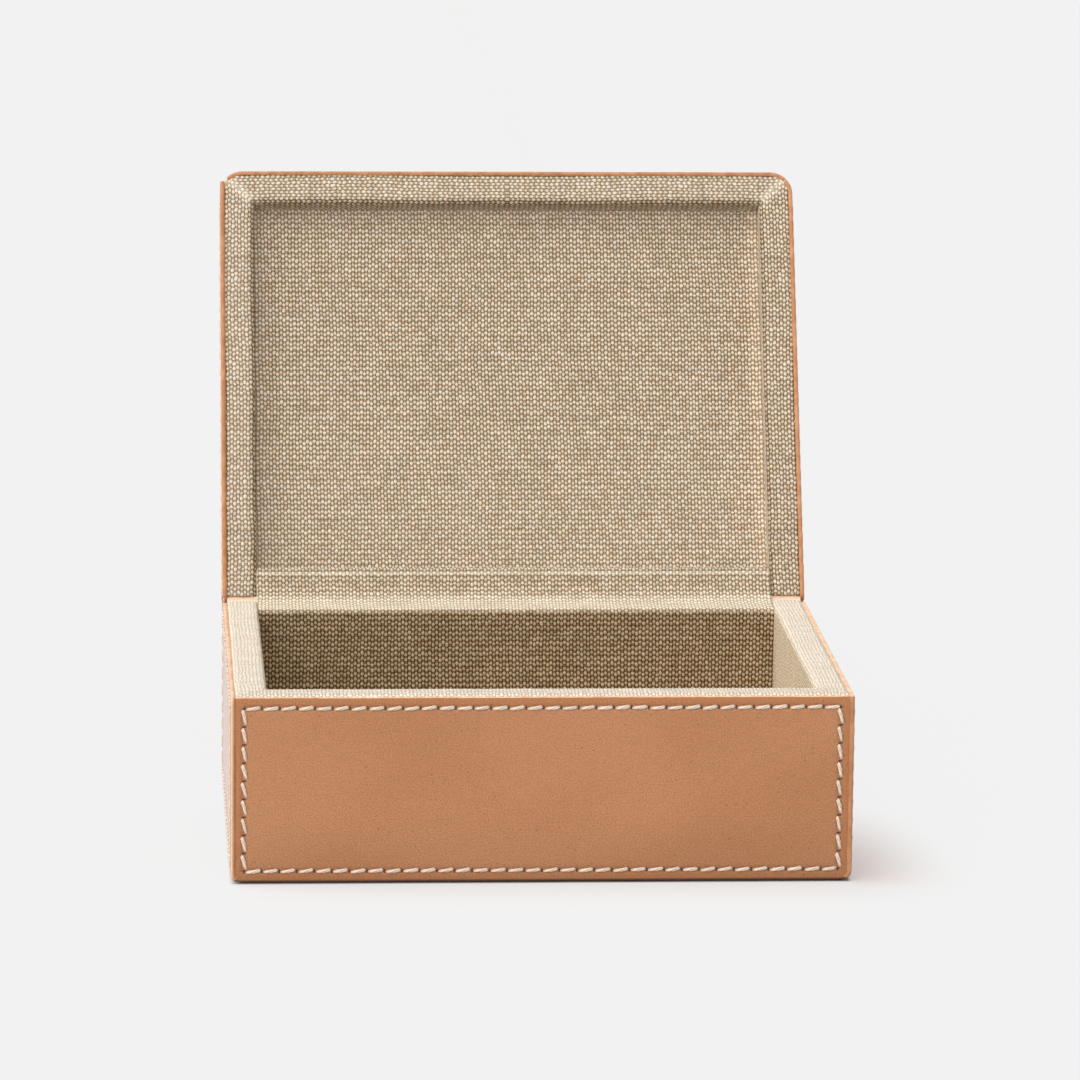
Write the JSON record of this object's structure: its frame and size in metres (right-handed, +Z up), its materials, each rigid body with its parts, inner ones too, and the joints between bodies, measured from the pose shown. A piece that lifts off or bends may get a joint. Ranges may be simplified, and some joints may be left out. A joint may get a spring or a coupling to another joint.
{
  "type": "stationery box",
  "caption": "Low rectangular leather box for papers, lined with canvas, its thick recessed lid open and leaning back on a soft hinge along the back.",
  "frame": {"origin": "centre of the tray's underside, on the surface that the box stands on", "axes": "X along the front, Y from the front wall to the hinge wall, Z up; the front faces -Y"},
  "size_m": [0.201, 0.2363, 0.2004],
  "materials": {
    "leather": "natural vegetable-tanned leather, smooth satin grain with cut edges",
    "hinge_leather": "the same leather pared thin, matte",
    "canvas": "coarse undyed canvas, matte",
    "thread": "waxed undyed linen thread",
    "wood": "plain sanded light board"
  },
  "bodies": {
    "tray": {"hinge_canvas": "canvas", "hinge_leather": "hinge_leather", "tray_back_board": "wood", "tray_back_leather": "leather", "tray_back_stitches": "thread", "tray_floor_board": "wood", "tray_floor_lining": "canvas", "tray_front_board": "wood", "tray_front_leather": "leather", "tray_front_lining": "canvas", "tray_front_stitches": "thread", "tray_left_board": "wood", "tray_left_leather": "leather", "tray_left_lining": "canvas", "tray_left_stitches": "thread", "tray_right_board": "wood", "tray_right_leather": "leather", "tray_right_lining": "canvas", "tray_right_stitches": "thread", "tray_underside_leather": "leather"},
    "lid": {"lid_back_leather": "leather", "lid_back_rail": "wood", "lid_back_stitches": "thread", "lid_front_leather": "leather", "lid_front_lining": "canvas", "lid_front_rail": "wood", "lid_front_stitches": "thread", "lid_left_leather": "leather", "lid_left_lining": "canvas", "lid_left_rail": "wood", "lid_left_stitches": "thread", "lid_panel_lining": "canvas", "lid_right_leather": "leather", "lid_right_lining": "canvas", "lid_right_rail": "wood", "lid_right_stitches": "thread", "lid_top_board": "wood", "lid_top_leather": "leather", "lid_top_stitches": "thread"}
  },
  "joints": [
    {"name": "lid_hinge", "type": "hinge", "parent": "tray", "child": "lid", "pos_m": [0, 0.0772, 0.0619], "axis": [1, 0, 0], "range_deg": [0, 116.35], "deforming": ["hinge_leather", "hinge_canvas"]}
  ]
}
